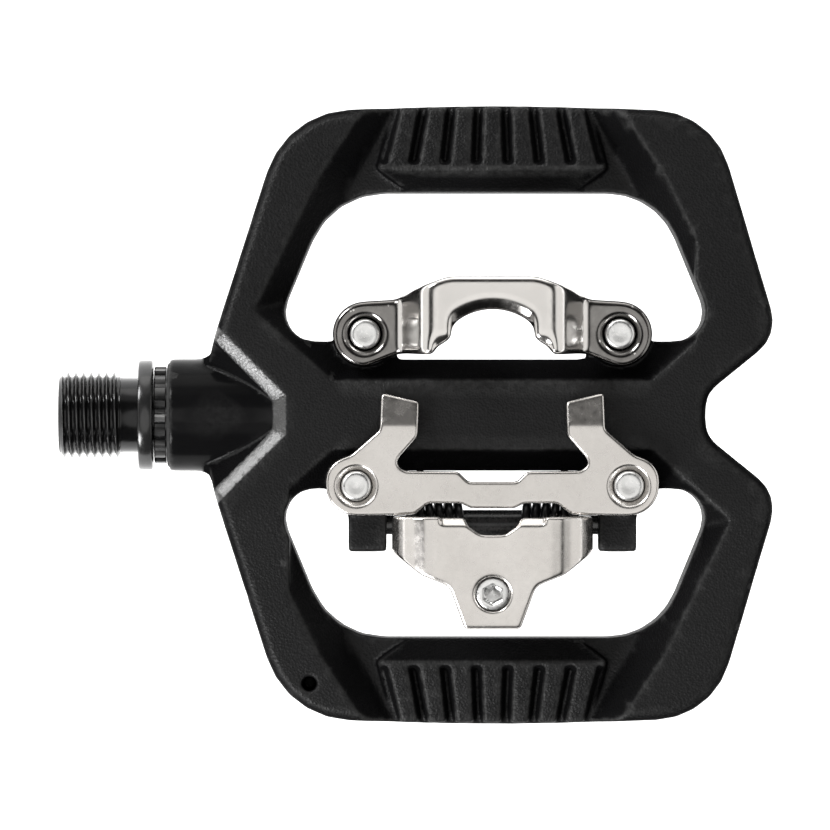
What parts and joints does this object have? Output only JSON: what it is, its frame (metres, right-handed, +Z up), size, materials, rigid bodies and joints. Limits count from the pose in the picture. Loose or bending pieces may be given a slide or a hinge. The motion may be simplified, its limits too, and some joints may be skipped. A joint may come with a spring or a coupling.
{
  "type": "clipless bicycle pedal",
  "caption": "Right-hand single-sided clipless trekking pedal: broad moulded frame, fixed front hook, cleat plate and sprung rear jaw on a threaded spindle.",
  "frame": {"origin": "on the flat side's face, straight below the spindle axis, on the centre line of the cleat", "axes": "+X outboard along the spindle axis, away from the crank; +Y forward; +Z up, out of the clip-in side"},
  "size_m": [0.1184, 0.1026, 0.0294],
  "materials": {
    "composite": "moulded, fine matt grain",
    "satin_steel": "stamped and tumbled, satin nickel",
    "bright_steel": "bright zinc",
    "black_steel": "glossy black oxide",
    "spring_steel": "oiled black wire",
    "bearing_steel": "ground and polished",
    "cage_steel": "pressed, plain",
    "polymer": "turned, satin",
    "rubber": "matt"
  },
  "bodies": {
    "spindle": {"spindle": "black_steel", "bearing_inner_ring": "bearing_steel", "spindle_washer": "bearing_steel", "lock_nut": "bright_steel"},
    "ball_cage": {"bearing_cage": "cage_steel", "bearing_ball_1": "bearing_steel", "bearing_ball_2": "bearing_steel", "bearing_ball_3": "bearing_steel", "bearing_ball_4": "bearing_steel", "bearing_ball_5": "bearing_steel", "bearing_ball_6": "bearing_steel", "bearing_ball_7": "bearing_steel"},
    "pedal_frame": {"pedal_body": "composite", "front_hook": "satin_steel", "cleat_plate": "satin_steel", "hook_screw_left": "bright_steel", "hook_screw_right": "bright_steel", "plate_screw_left": "bright_steel", "plate_screw_right": "bright_steel", "jaw_pivot_pin": "black_steel", "spring_sleeve": "polymer", "retaining_collar": "black_steel", "collar_o_ring": "rubber", "lip_seal": "rubber", "inboard_bush": "polymer", "bearing_outer_ring": "bearing_steel", "bearing_shield_inboard": "bearing_steel", "bearing_shield_outboard": "bearing_steel", "torsion_spring_left": "spring_steel", "torsion_spring_right": "spring_steel"},
    "jaw": {"rear_jaw": "satin_steel"},
    "adjuster": {"tension_screw": "bright_steel"},
    "preload_block": {"tension_plate": "bright_steel", "tension_nut": "bright_steel"}
  },
  "joints": [
    {"name": "body_spin", "type": "hinge", "parent": "spindle", "child": "pedal_frame", "pos_m": [0, 0, 0.0096], "axis": [1, 0, 0], "continuous": true},
    {"name": "bearing_cage_spin", "type": "hinge", "parent": "spindle", "child": "ball_cage", "pos_m": [0.01202, 0, 0.0096], "axis": [1, 0, 0], "continuous": true},
    {"name": "jaw_open", "type": "hinge", "parent": "pedal_frame", "child": "jaw", "pos_m": [0, -0.0182, 0.0175], "axis": [1, 0, 0], "range_deg": [0, 15], "stiffness_Nm_per_rad": 2, "springref_deg": -34.38, "deforming": ["torsion_spring_left", "torsion_spring_right"]},
    {"name": "tension_screw_turn", "type": "hinge", "parent": "jaw", "child": "adjuster", "pos_m": [0, -0.0296, 0.02647], "axis": [0, -0.2079, 0.9781], "range_deg": [-1080, 0]},
    {"name": "tension_nut_slide", "type": "slide", "parent": "jaw", "child": "preload_block", "axis": [0, -0.2079, 0.9781], "range_m": [0, 0.0024]}
  ],
  "couplings": [
    {"joint": "bearing_cage_spin", "follows": "body_spin", "ratio": 0.5863},
    {"joint": "tension_screw_turn", "follows": "tension_nut_slide", "rad_per_m": -7854}
  ]
}
